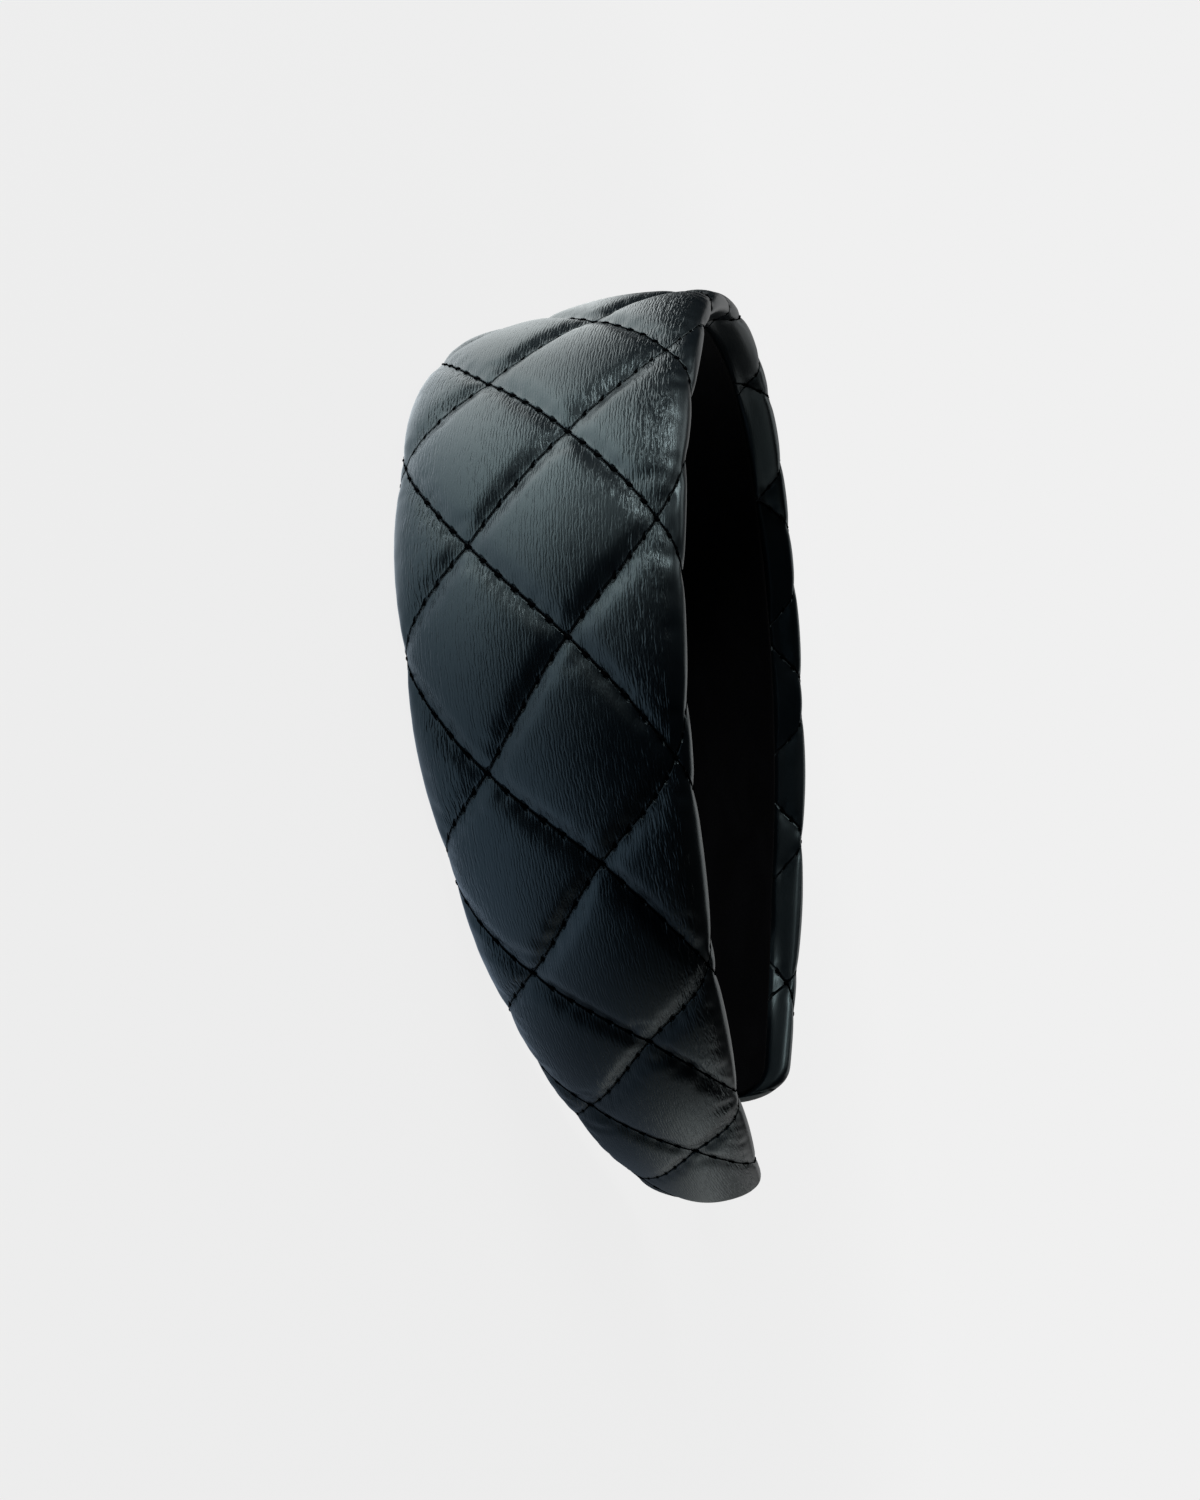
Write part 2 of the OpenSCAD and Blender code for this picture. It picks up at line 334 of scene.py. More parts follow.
@dataclass(frozen=True)
class Quilt:
    """The net of stitched seams, how they draw the cover in, and how unevenly they were sewn.

    The sewn rows shift by slip_crown at the crown and by slip_leg more past slip_grows. They lie
    true within slip_ends of a tip and beyond slip_turned round the section. drift gives the share,
    the length and the start of a slower shift.
    """

    diamond_l: float = 32.0
    diamond_w: float = 28.0
    crossing_along: float = 22.4
    crossing_across: float = 4.8
    seam_depth: float = 1.45
    turned_depth: float = 0.8
    crease_w: float = 1.0
    crease_share: float = 0.6
    stitches_a_side: int = 6
    pull: float = 0.05
    pull_w: float = 0.9
    pull_fade: float = 1.0
    slant: float = 0.3
    slip_crown: float = 0.3
    slip_leg: float = 0.8
    slip_grows: Span = (60.0, 120.0)
    slip_ends: Span = (26.0, 8.0)
    slip_turned: Span = (22.0, 27.0)
    drift: Triple = (0.2, 53.0, 1.3)

    @property
    def side(self) -> float:
        """Length of a diamond's side, from one crossing to the next."""
        return math.hypot(self.diamond_l, self.diamond_w) / 2

    @property
    def spacing(self) -> float:
        """Distance between two seams that run the same way."""
        return self.diamond_l * self.diamond_w / 2 / self.side

    def rows(self, along: Array, girth: Array) -> Tuple[Array, Array]:
        """Place in the quilt, counted in diamonds: a seam lies where either value is whole."""
        u = (along - self.crossing_along) / self.diamond_l
        v = (girth - self.crossing_across) / self.diamond_w
        return u - v, u + v

    def point(self, run: SeamRun, row: Array, on: Array, beside: Array) -> Tuple[Array, Array]:
        """Find a place by the seam that it is on.

        Args:
            run: which way the seam crosses the band.
            row: number of the seam.
            on: place on the seam, counted in crossings.
            beside: distance beside the seam, in millimetres.

        Returns:
            The distance along the band and the girth.
        """
        a, b, way = (row, on, 1.0) if run is SeamRun.FALLING else (on, row, -1.0)
        off = beside / 2 / self.side
        along = self.crossing_along + (a + b) * self.diamond_l / 2 - way * off * self.diamond_w
        girth = self.crossing_across + (b - a) * self.diamond_w / 2 + off * self.diamond_l
        return along, girth

    def off_seams(self, along: Array, girth: Array) -> Tuple[Array, Array]:
        """Distances to the nearest seam of each run."""
        a, b = self.rows(along, girth)
        return np.abs(a - np.round(a)) * self.spacing, np.abs(b - np.round(b)) * self.spacing

    def fullness(self, along: Array, girth: Array) -> Array:
        """How full the padding is, from 0 in a seam to 1 in the middle of a diamond."""
        full = np.ones_like(along * girth)
        for off in self.off_seams(along, girth):
            crease = 1 - np.exp(-off / self.crease_w)
            dome = np.sin(np.pi * np.clip(off / self.spacing, 0, 0.5))
            full = full * (self.crease_share * crease + (1 - self.crease_share) * dome)
        return full

    def slip(self, along: Array, girth: Array, held: Array) -> Tuple[Array, Array]:
        """Shift the sewn rows a little, as they lie on a band made by hand.

        Args:
            along: even places along the band.
            girth: even places round the section.
            held: how far a tip holds the rows, from 0 to 1.

        Returns:
            The places that the sewn rows really have.
        """
        amount = self.slip_crown + self.slip_leg * smooth(*self.slip_grows, np.abs(along))
        amount = amount * (1 - held) * (1 - smooth(*self.slip_turned, np.abs(girth)))
        wave = np.cos(2 * np.pi * (girth - self.crossing_across) / self.diamond_w)
        share, length, start = self.drift
        drift = share * amount * np.sin(2 * np.pi * along / length + start)
        return along - amount * wave, girth + drift


# Meshes

@contextmanager
def shaping(mesh: Mesh) -> Iterator[bmesh.types.BMesh]:
    """Open a mesh for bmesh operators, and write it back once they are done.

    Args:
        mesh: mesh to shape, which may be empty.

    Yields:
        The bmesh to work on.
    """
    bm = bmesh.new()
    bm.from_mesh(mesh)
    yield bm
    bm.to_mesh(mesh)
    bm.free()
    mesh.update()


def wrapped_grid(name: str, rows: int, columns: int) -> Tuple[Mesh, Array, Array]:
    """Make a flat grid that is then wrapped round a section, and number its points.

    Args:
        name: name of the mesh.
        rows: number of steps along the band.
        columns: number of steps round the section.

    Returns:
        The mesh, with the row and the column of each of its points.
    """
    mesh = bpy.data.meshes.new(name)
    with shaping(mesh) as bm:
        bmesh.ops.create_grid(bm, x_segments=rows, y_segments=columns, size=0.5)
    flat = points_of(mesh) + 0.5
    return mesh, np.rint(flat[:, 0] * rows).astype(int), np.rint(flat[:, 1] * columns).astype(int)


def points_of(mesh: Mesh) -> Array:
    """Read a mesh's points as rows of x, y and z."""
    points = np.empty(len(mesh.vertices) * 3)
    mesh.vertices.foreach_get("co", points)
    return points.reshape(-1, 3)


def set_points(mesh: Mesh, points: Array) -> None:
    """Write a mesh's points."""
    mesh.vertices.foreach_set("co", np.ascontiguousarray(points, dtype=np.float32).ravel())
    mesh.update()


def normals_of(mesh: Mesh) -> Array:
    """Read the outward direction at each point of a mesh."""
    normals = np.empty(len(mesh.vertices) * 3)
    mesh.vertex_normals.foreach_get("vector", normals)
    return normals.reshape(-1, 3)


def corners_of(mesh: Mesh) -> Array:
    """Read which point each face corner of a mesh uses."""
    corners = np.empty(len(mesh.loops), dtype=np.int32)
    mesh.loops.foreach_get("vertex_index", corners)
    return corners


def write_uv(mesh: Mesh, name: str, u: Array, v: Array) -> None:
    """Write a UV map from one pair of values for each point.

    Args:
        mesh: mesh that gets the map.
        name: name of the map.
        u: first value of each point.
        v: second value of each point.
    """
    layer = mesh.uv_layers.new(name=name)
    pairs = np.stack([u, v], -1)[corners_of(mesh)]
    layer.data.foreach_set("uv", pairs.astype(np.float32).ravel())


def close_up(mesh: Mesh, merge: float = 1e-6) -> None:
    """Merge the points that meet, close the open ends, face outwards and shade smooth.

    Args:
        mesh: mesh to close.
        merge: distance in metres within which points are merged.
    """
    with shaping(mesh) as bm:
        bmesh.ops.remove_doubles(bm, verts=bm.verts, dist=merge)
        bmesh.ops.holes_fill(bm, edges=[edge for edge in bm.edges if edge.is_boundary], sides=0)
        bmesh.ops.recalc_face_normals(bm, faces=bm.faces)
        for face in bm.faces:
            face.smooth = True


def in_scene(name: str, data: bpy.types.ID) -> bpy.types.Object:
    """Make an object from its data and put it in the scene."""
    item = bpy.data.objects.new(name, data)
    bpy.context.scene.collection.objects.link(item)
    return item


def as_piece(name: str, mesh: Mesh, material: Material) -> bpy.types.Object:
    """Put a mesh in the scene as a piece of the headband.

    Args:
        name: name of the piece.
        mesh: its mesh, already placed.
        material: its finish.

    Returns:
        The new object, which rides on the one body.
    """
    piece = in_scene(name, mesh)
    mesh.materials.clear()
    mesh.materials.append(material)
    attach(piece, "root")
    return piece


# Node materials

class Board:
    """One node tree, with short ways to add and join its nodes."""

    def __init__(self, tree: bpy.types.NodeTree) -> None:
        """Take the tree to work on."""
        self.tree = tree

    def add(self, kind: str, inputs: Optional[dict] = None, **settings: object) -> bpy.types.Node:
        """Add a node.

        Args:
            kind: type name of the node.
            inputs: value or source socket for each input, by name or number.
            settings: attributes of the node itself.

        Returns:
            The new node.
        """
        node = self.tree.nodes.new(kind)
        for name, value in settings.items():
            setattr(node, name, value)
        for key, value in (inputs or {}).items():
            if isinstance(value, Socket):
                self.tree.links.new(value, node.inputs[key])
            else:
                node.inputs[key].default_value = value
        return node

    def math(self, operation: str, *values: object) -> Socket:
        """Add a Math node and give its result."""
        return self.add("ShaderNodeMath", dict(enumerate(values)), operation=operation).outputs[0]

    def times(self, a: object, b: object) -> Socket:
        """Multiply two values."""
        return self.math("MULTIPLY", a, b)

    def minus(self, a: object, b: object) -> Socket:
        """Take the second value from the first."""
        return self.math("SUBTRACT", a, b)

    def plus(self, total: object, *others: object) -> Socket:
        """Add values up."""
        for value in others:
            total = self.math("ADD", total, value)
        return total

    def ramp(self, value: Socket, low: float, high: float,
             start: float = 0.0, end: float = 1.0) -> Socket:
        """Map a value smoothly from one span to another.

        Args:
            value: socket to map.
            low: value that gives start.
            high: value that gives end.
            start: result at low.
            end: result at high.

        Returns:
            The mapped value.
        """
        inputs = {"Value": value, "From Min": low, "From Max": high, "To Min": start, "To Max": end}
        node = self.add("ShaderNodeMapRange", inputs, interpolation_type="SMOOTHSTEP")
        return node.outputs["Result"]

    def mix(self, factor: object, a: object, b: object) -> Socket:
        """Mix two colours and give the result."""
        return self.add("ShaderNodeMix", {0: factor, 6: a, 7: b}, data_type="RGBA").outputs[2]

    def noise(self, vector: Socket, scale: float, detail: float, **more: float) -> Socket:
        """Add a noise and give its value."""
        inputs = {"Vector": vector, "Scale": scale, "Detail": detail, **more}
        return self.add("ShaderNodeTexNoise", inputs).outputs["Fac"]

    def split_rays(self, seen: bpy.types.Node, cast: bpy.types.Node, output: str) -> None:
        """Show the camera one shader, and every other ray another.

        Args:
            seen: shader that the camera sees.
            cast: shader for all other rays.
            output: type name of the output node.
        """
        ray = self.add("ShaderNodeLightPath").outputs["Is Camera Ray"]
        ends = self.add("ShaderNodeMixShader", {0: ray, 1: cast.outputs[0], 2: seen.outputs[0]})
        self.add(output, {"Surface": ends.outputs[0]})


class Finish(Board):
    """The board of a new material, with the sockets of its one shader."""

    def __init__(self, name: str, constants: dict) -> None:
        """Start the material.

        Args:
            name: name of the material.
            constants: value of each socket of the shader that is the same all over.
        """
        self.material = bpy.data.materials.new(name)
        self.material.use_nodes = True
        super().__init__(self.material.node_tree)
        self.sockets = self.tree.nodes["Principled BSDF"].inputs
        for label, value in constants.items():
            self.sockets[label].default_value = value

    def uv(self, name: str) -> Socket:
        """Read one of the piece's own UV maps."""
        return self.add("ShaderNodeUVMap", uv_map=name).outputs[0]

    def bump(self, height: Socket, size: float, strength: float = 1.0,
             over: Optional[Socket] = None) -> Socket:
        """Turn a height into a normal.

        Args:
            height: height of the surface, in steps of size.
            size: height of one step, in millimetres.
            strength: share of the slope that is used.
            over: normal that the bump lies over.

        Returns:
            The normal.
        """
        below = {} if over is None else {"Normal": over}
        inputs = {"Strength": strength, "Distance": size * MM, "Height": height, **below}
        return self.add("ShaderNodeBump", inputs).outputs[0]

    def dress(self, colour: Socket, rough: Socket, normal: Socket) -> Material:
        """Join what changes over the surface to the shader, and give the material."""
        for label, value in (("Base Color", colour), ("Roughness", rough), ("Normal", normal)):
            self.tree.links.new(value, self.sockets[label])
        return self.material


def new_group(name: str, inputs: Iterable[Tuple[str, str]],
              outputs: Iterable[str]) -> Tuple[Board, bpy.types.Node, bpy.types.Node]:
    """Start a shader node group.

    Args:
        name: name of the group.
        inputs: name and type of each input.
        outputs: name of each output, all of them plain values.

    Returns:
        The board of the group, its input node and its output node.
    """
    tree = bpy.data.node_groups.new(name, "ShaderNodeTree")
    for label, kind in inputs:
        tree.interface.new_socket(label, in_out="INPUT", socket_type="NodeSocket" + kind)
    for label in outputs:
        tree.interface.new_socket(label, in_out="OUTPUT", socket_type="NodeSocketFloat")
    board = Board(tree)
    return board, board.add("NodeGroupInput"), board.add("NodeGroupOutput")


@dataclass(frozen=True)
class CreaseGrain:
    """Long fine creases side by side, such as those of stretched leather, deeper in patches."""

    detail: float = 2.0
    detail_scale: float = 1.9
    detail_rough: float = 0.6
    patch_scale: float = 1.1
    patches: Span = (0.34, 0.62)
    shallow: float = 0.3

    def group(self) -> bpy.types.ShaderNodeTree:
        """Make the node group of the creases.

        Returns:
            A group that gives a height from 0 in a crease to 1 between creases.
        """
        inputs = (("Vector", "Vector"), ("Scale", "Float"), ("Bend", "Float"))
        board, given, result = new_group("crease grain", inputs, ["Height"])
        vector = given.outputs["Vector"]
        creases = board.add("ShaderNodeTexWave", {
            "Vector": vector, "Scale": given.outputs["Scale"], "Distortion": given.outputs["Bend"],
            "Detail": self.detail, "Detail Scale": self.detail_scale,
            "Detail Roughness": self.detail_rough}, wave_type="BANDS", bands_direction="Y")
        patches = board.noise(vector, self.patch_scale, self.detail)
        depth = board.ramp(patches, *self.patches, self.shallow, 1.0)
        crease = board.times(board.minus(1.0, creases.outputs["Fac"]), depth)
        board.tree.links.new(board.minus(1.0, crease), result.inputs["Height"])
        return board.tree


@dataclass(frozen=True)
class SeamMarks:
    """Masks that follow the seams: each is full at its first distance and gone at its second."""

    line: Span = (0.0, 0.34)
    near: Span = (0.2, 4.2)
    hole: Span = (0.16, 0.42)
    pull: Span = (0.1, 2.6)
    hole_squeeze: float = 0.42

    def group(self, quilt: Quilt) -> bpy.types.ShaderNodeTree:
        """Make the node group that finds the seams from the quilt's own map.

        Args:
            quilt: net of seams.

        Returns:
            A group that gives the crease line, the cover near a seam, the needle holes and the
            pull of the stitches.
        """
        labels = ("Line", "Near", "Hole", "Pull")
        board, given, result = new_group("seam marks", [("Rows", "Vector")], labels)
        rows = board.add("ShaderNodeSeparateXYZ", {0: given.outputs["Rows"]}).outputs
        found = []
        for here, other in ((0, 1), (1, 0)):
            beside = board.times(board.math("WRAP", rows[here], 0.5, -0.5), quilt.spacing)
            off = board.math("ABSOLUTE", beside)
            step = board.times(rows[other], float(quilt.stitches_a_side))
            stitch = quilt.side / quilt.stitches_a_side
            to_hole = board.times(board.math("WRAP", step, 0.5, -0.5), stitch)
            across = board.minus(beside, board.times(to_hole, quilt.slant))
            lengthways = board.times(to_hole, self.hole_squeeze)
            gap = board.plus(board.times(across, across), board.times(lengthways, lengthways))
            beat = board.math("COSINE", board.times(step, 2 * math.pi))
            found.append((board.ramp(off, *self.line, 1.0, 0.0),
                          board.ramp(off, *self.near, 1.0, 0.0),
                          board.ramp(board.math("SQRT", gap), *self.hole, 1.0, 0.0),
                          board.times(board.ramp(off, *self.pull, 1.0, 0.0), beat)))
        for label, one, two in zip(labels, *found):
            joined = board.math("ADD" if label == "Pull" else "MAXIMUM", one, two)
            board.tree.links.new(joined, result.inputs[label])
        return board.tree


@dataclass(frozen=True)
class FauxLeather:
    """Soft black faux leather with long fine creases, and wider ones by the seams and at the edges.

    grain and puckers each give a scale and a bend. roll_from, roll_to and taut are places round the
    section, where 1 is the start of the outer roll and 2 its end. roughness is the least there is.
    The crease lines of the seams and the needle holes have shade painted into their colour.
    """

    colour: Colour = (0.0016, 0.0030, 0.0046, 1.0)
    worn: Colour = (0.0030, 0.0046, 0.0062, 1.0)
    # painted shade: the near-black colour that the seams' crease lines and needle holes take, as shade in
    # them
    seam_painted_shade: Colour = (0.0006, 0.0007, 0.0009, 1.0)
    roughness: float = 0.27
    rough_patches: float = 0.12
    rough_seam: float = 0.3
    specular: float = 0.42
    cast: Colour = (0.72, 0.95, 1.0, 1.0)
    crease_mm: float = 0.044
    seam_mm: float = 0.45
    stretch: Triple = (0.40, 1.0, 1.0)
    grain: Span = (0.72, 6.5)
    puckers: Span = (0.44, 8.5)
    fine_scale: float = 3.2
    patch_scale: float = 0.075
    patches: Span = (0.36, 0.66)
    roll_from: Span = (0.95, 1.15)
    roll_to: Span = (1.48, 1.62)
    taut: Span = (1.50, 1.68)
    taut_left: float = 0.12
    near_seams: float = 0.25
    in_patches: float = 0.2
    on_roll: float = 0.9
    grain_share: float = 0.62
    fine_share: float = 0.15
    line_depth: float = -0.4
    pull_depth: float = 0.06
    # how far the crease line is darkened with painted shade
    line_painted_shade: float = 0.85

    def make(self, quilt: Quilt) -> Material:
        """Make the material of the cover.

        Args:
            quilt: net of seams that the material follows.

        Returns:
            The node material.
        """
        board = Finish("black faux leather",
                       {"Specular IOR Level": self.specular, "Specular Tint": self.cast})
        skin = board.uv("length_and_girth")
        group = SeamMarks().group(quilt)
        marks = board.add("ShaderNodeGroup", node_tree=group)
        board.tree.links.new(board.uv("quilt_rows"), marks.inputs["Rows"])
        line, near, hole, pull = marks.outputs
        long_lines = board.add("ShaderNodeMapping", {"Vector": skin, "Scale": self.stretch})
        group = CreaseGrain().group()
        creases = []
        for scale, bend in (self.grain, self.puckers):
            node = board.add("ShaderNodeGroup", node_tree=group)
            board.tree.links.new(long_lines.outputs[0], node.inputs["Vector"])
            node.inputs["Scale"].default_value = scale
            node.inputs["Bend"].default_value = bend
            creases.append(node.outputs["Height"])
        fine = board.noise(skin, self.fine_scale, detail=3.0, Roughness=0.6)
        patches = board.noise(skin, self.patch_scale, detail=2.0)
        uneven = board.ramp(patches, *self.patches)
        part = board.add("ShaderNodeSeparateXYZ", {0: board.uv("parts_of_section")}).outputs["X"]
        on_roll = board.minus(board.ramp(part, *self.roll_from), board.ramp(part, *self.roll_to))
        strength = board.plus(board.times(uneven, self.in_patches), board.times(on_roll, self.on_roll),
                              board.times(near, self.near_seams))
        height = board.plus(board.times(creases[1], strength), board.times(creases[0], self.grain_share),
                            board.times(fine, self.fine_share))
        height = board.times(height, board.ramp(part, *self.taut, 1.0, self.taut_left))
        seam = board.minus(board.times(line, self.line_depth), hole)
        seam = board.minus(seam, board.times(pull, self.pull_depth))
        normal = board.bump(seam, self.seam_mm, over=board.bump(height, self.crease_mm))
        # Painted shade: the crease line of each seam and the needle holes are darkened towards the
        # near-black seam colour, as shade in them would be, and made rougher
        seam_shade_mask = board.math("MAXIMUM", board.times(line, self.line_painted_shade), hole)
        base = board.mix(seam_shade_mask, board.mix(uneven, self.colour, self.worn), self.seam_painted_shade)
        rough = board.plus(self.roughness, board.times(patches, self.rough_patches),
                           board.times(seam_shade_mask, self.rough_seam))
        return board.dress(base, rough, normal)


@dataclass(frozen=True)
class NapCloth:
    """Black cloth with a short soft nap, brushed into faint long strokes."""

    colour: Colour = (0.0010, 0.0010, 0.0014, 1.0)
    brushed: Colour = (0.0026, 0.0027, 0.0034, 1.0)
    specular: float = 0.06
    sheen: float = 0.012
    sheen_rough: float = 0.5
    stretch: Triple = (0.4, 1.0, 1.0)
    nap_scale: float = 5.0
    nap_mm: float = 0.12
    nap_span: Span = (0.3, 0.7)
    rough: Span = (0.85, 1.0)
    brush_scale: float = 0.16
    brush_span: Span = (0.38, 0.66)
    brush_share: float = 0.7

    def make(self) -> Material:
        """Make the material of the lining.

        Returns:
            The node material.
        """
        board = Finish("black lining cloth",
                       {"Specular IOR Level": self.specular, "Sheen Weight": self.sheen,
                        "Sheen Roughness": self.sheen_rough})
        skin = board.uv("length_and_girth")
        strokes = board.add("ShaderNodeMapping", {"Vector": skin, "Scale": self.stretch}).outputs[0]
        nap = board.noise(skin, self.nap_scale, detail=4.0, Roughness=0.7)
        brush = board.noise(strokes, self.brush_scale, detail=3.0, Distortion=0.6)
        brush = board.times(board.ramp(brush, *self.brush_span), self.brush_share)
        tone = board.plus(brush, board.times(nap, 1 - self.brush_share))
        return board.dress(board.mix(tone, self.colour, self.brushed),
                           board.ramp(nap, *self.nap_span, *self.rough),
                           board.bump(nap, self.nap_mm, strength=0.8))


@dataclass(frozen=True)
class SewingThread:
    """Black twisted thread."""

    colour: Colour = (0.0008, 0.0008, 0.0010, 1.0)
    lit_fibre: Colour = (0.0022, 0.0024, 0.0030, 1.0)
    twist_scale: float = 1.6
    twist_bend: float = 0.6
    twist_mm: float = 0.05
    rough: Span = (0.75, 0.5)

    def make(self) -> Material:
        """Make the material of the stitches.

        Returns:
            The node material.
        """
        board = Finish("black thread", {"Specular IOR Level": 0.0})
        inputs = {"Vector": board.uv("thread_run"), "Scale": self.twist_scale,
                  "Distortion": self.twist_bend}
        twist = board.add("ShaderNodeTexWave", inputs, wave_type="BANDS",
                          bands_direction="DIAGONAL").outputs["Fac"]
        return board.dress(board.mix(twist, self.colour, self.lit_fibre),
                           board.ramp(twist, 0.0, 1.0, *self.rough),
                           board.bump(twist, self.twist_mm, strength=0.8))


# Padded cover

@dataclass(frozen=True)
class Padding:
    """Foam that swells the cover between its seams, worked out with Blender's cloth.

    A point is free from free_from to free_to beside a seam. The outer roll holds it past roll_hold,
    and a tip within the span tip_hold.
    """

    enlarge: float = 25.0
    pressure: float = 16.0
    slack: float = 0.035
    frames: int = 24
    most: float = 0.35
    free_from: float = 0.45
    free_to: float = 2.0
    roll_hold: float = 0.35
    tip_hold: Span = (30.0, 14.0)
    least_free: float = 0.02
    fabric: Tuple[Tuple[str, float], ...] = (
        ("quality", 6), ("mass", 0.02), ("tension_stiffness", 20.0), ("compression_stiffness", 20.0),
        ("shear_stiffness", 12.0), ("bending_stiffness", 0.4), ("air_damping", 2.0))

    def swell(self, mesh: Mesh, held: Array) -> Array:
        """Blow up a copy of the cover and read where its points end.

        Args:
            mesh: the cover's mesh.
            held: whether the seams and edges hold each point.

        Returns:
            The move of each point, in metres.
        """
        scene = bpy.context.scene
        start = points_of(mesh)
        trial = in_scene("swelling cover", mesh.copy())
        set_points(trial.data, start * self.enlarge)
        group = trial.vertex_groups.new(name="held")
        group.add([int(index) for index in np.flatnonzero(held)], 1.0, "REPLACE")
        cloth = trial.modifiers.new("padding", "CLOTH")
        cloth.point_cache.frame_start, cloth.point_cache.frame_end = 1, self.frames
        cloth.collision_settings.use_collision = False
        settings = cloth.settings
        for name, value in self.fabric:
            setattr(settings, name, value)
        settings.vertex_group_mass = "held"
        settings.use_pressure = True
        settings.uniform_pressure_force = self.pressure
        settings.shrink_min = -self.slack
        settings.effector_weights.gravity = 0.0
        for frame_number in range(1, self.frames + 1):
            scene.frame_set(frame_number)
        ready = trial.evaluated_get(bpy.context.evaluated_depsgraph_get())
        move = points_of(ready.data) / self.enlarge - start
        used = trial.data
        bpy.data.objects.remove(trial)
        bpy.data.meshes.remove(used)
        scene.frame_set(1)
        size = np.linalg.norm(move, axis=1, keepdims=True)
        LOG.info("padding moved the cover by %.2f mm at most", size.max() / MM)
        return move * np.minimum(1.0, self.most * MM / np.maximum(size, TINY))


@dataclass
class QuiltedCover:
    """The padded cover, from its quilted face round both rolled edges to the seat of the lining.

    part_steps gives the steps in each part of a section, in the order of Edge. The seams lose the
    share flatter of their depth over the span flatter_near from a tip, and end under the lining
    over the width fade.
    """

    band: BandForm
    quilt: Quilt
    padding: Padding = Padding()
    step_along: float = 1.2
    part_steps: Tuple[int, ...] = (15, 8, 3, 4, 1, 2)
    tip_angles: Tuple[float, ...] = (10, 21, 32, 43, 53, 62, 70, 77, 83, 87.5, 90)
    merge: float = 2e-5
    flatter: float = 0.5
    flatter_near: Span = (45.0, 3.0)
    fade: float = 1.2

    def columns_round(self) -> Array:
        """Stations round a section: whole numbers are where its parts meet."""
        parts = [np.linspace(part, part + 1, steps + 1)[1:] for part, steps in enumerate(self.part_steps)]
        half = np.concatenate([[0.0]] + parts)
        return np.concatenate([-half[::-1], half[1:]])

    def over_roll(self, ends: Array, girth: Array) -> Array:
        """Place on the outer roll, 0 where it starts, 1 where it ends and more beyond it."""
        face, roll = ends[..., Edge.FACE], ends[..., Edge.ROLL]
        return (np.abs(girth) - face) / np.maximum(roll - face, TINY)

    def depth(self, along: Array, girth: Array) -> Array:
        """How far the seams draw the cover in, less on the turned edge and nothing on the seat."""
        ends = self.band.girths(along)
        turned = smooth(0.0, 1.0, self.over_roll(ends, girth))
        full = self.quilt.seam_depth + (self.quilt.turned_depth - self.quilt.seam_depth) * turned
        full = full * (1 - self.flatter * self.band.near_tip(along, self.flatter_near))
        seat = smooth(-self.fade, 0.0, np.abs(girth) - ends[..., Edge.TURNED])
        return full * (1 - self.quilt.fullness(along, girth)) * (1 - seat)

    def surface(self, along: Array, girth: Array, rise: Array) -> Array:
        """Place points on the sewn surface, or a little over it.

        Args:
            along: even places along the band.
            girth: even places round the section.
            rise: height over the surface.

        Returns:
            Points in the room, in metres.
        """
        held = self.band.near_tip(along, self.quilt.slip_ends)
        slipped, girth_there = self.quilt.slip(along, girth, held)
        across, out = self.band.skin(slipped, girth_there, self.depth(along, girth) - rise)
        return self.band.place(slipped, across, out)

    def mesh(self) -> Mesh:
        """Build the cover's mesh, with its maps, and swell it.

        Returns:
            The closed mesh.
        """
        band = self.band
        rows = band.sections(self.step_along, band.tip_round, self.tip_angles)
        columns = self.columns_round()
        mesh, row, column = wrapped_grid("quilted_leather_cover", len(rows) - 1, len(columns) - 1)
        along, station = rows[row], np.abs(columns[column])
        ends, pick = band.girths(along), np.arange(len(along))
        low = np.minimum(np.floor(station).astype(int), int(Edge.STEP))
        girth = ends[pick, low] + (ends[pick, low + 1] - ends[pick, low]) * (station - low)
        girth = girth * np.sign(columns[column])
        write_uv(mesh, "length_and_girth", along, girth)
        write_uv(mesh, "quilt_rows", *self.quilt.rows(along, girth))
        write_uv(mesh, "parts_of_section", station, along / band.half_along)
        set_points(mesh, self.surface(along, girth, 0 * along))
        close_up(mesh, self.merge)
        self.fill(mesh)
        self.refine(mesh)
        return mesh

    def places_of(self, mesh: Mesh) -> Tuple[Array, Array]:
        """Read each point's place along the band and round it from the UV map.

        Args:
            mesh: the cover's mesh.

        Returns:
            The distances along and the girths, one for each point.
        """
        uv = np.empty(len(mesh.loops) * 2)
        mesh.uv_layers["length_and_girth"].data.foreach_get("uv", uv)
        place = np.zeros((len(mesh.vertices), 2))
        place[corners_of(mesh)] = uv.reshape(-1, 2)
        return place[:, 0], place[:, 1]

    def fill(self, mesh: Mesh) -> None:
        """Swell the cover with its padding, and keep it as sewn along the seams.

        Args:
            mesh: the cover's mesh.
        """
        foam = self.padding
        along, girth = self.places_of(mesh)
        past = smooth(foam.roll_hold, 1.0, self.over_roll(self.band.girths(along), girth))
        free = smooth(foam.free_from, foam.free_to, np.minimum(*self.quilt.off_seams(along, girth)))
        free = free * (1 - past) * (1 - self.band.near_tip(along, foam.tip_hold))
        move = foam.swell(mesh, free < foam.least_free)
        set_points(mesh, points_of(mesh) + move * free[:, None])

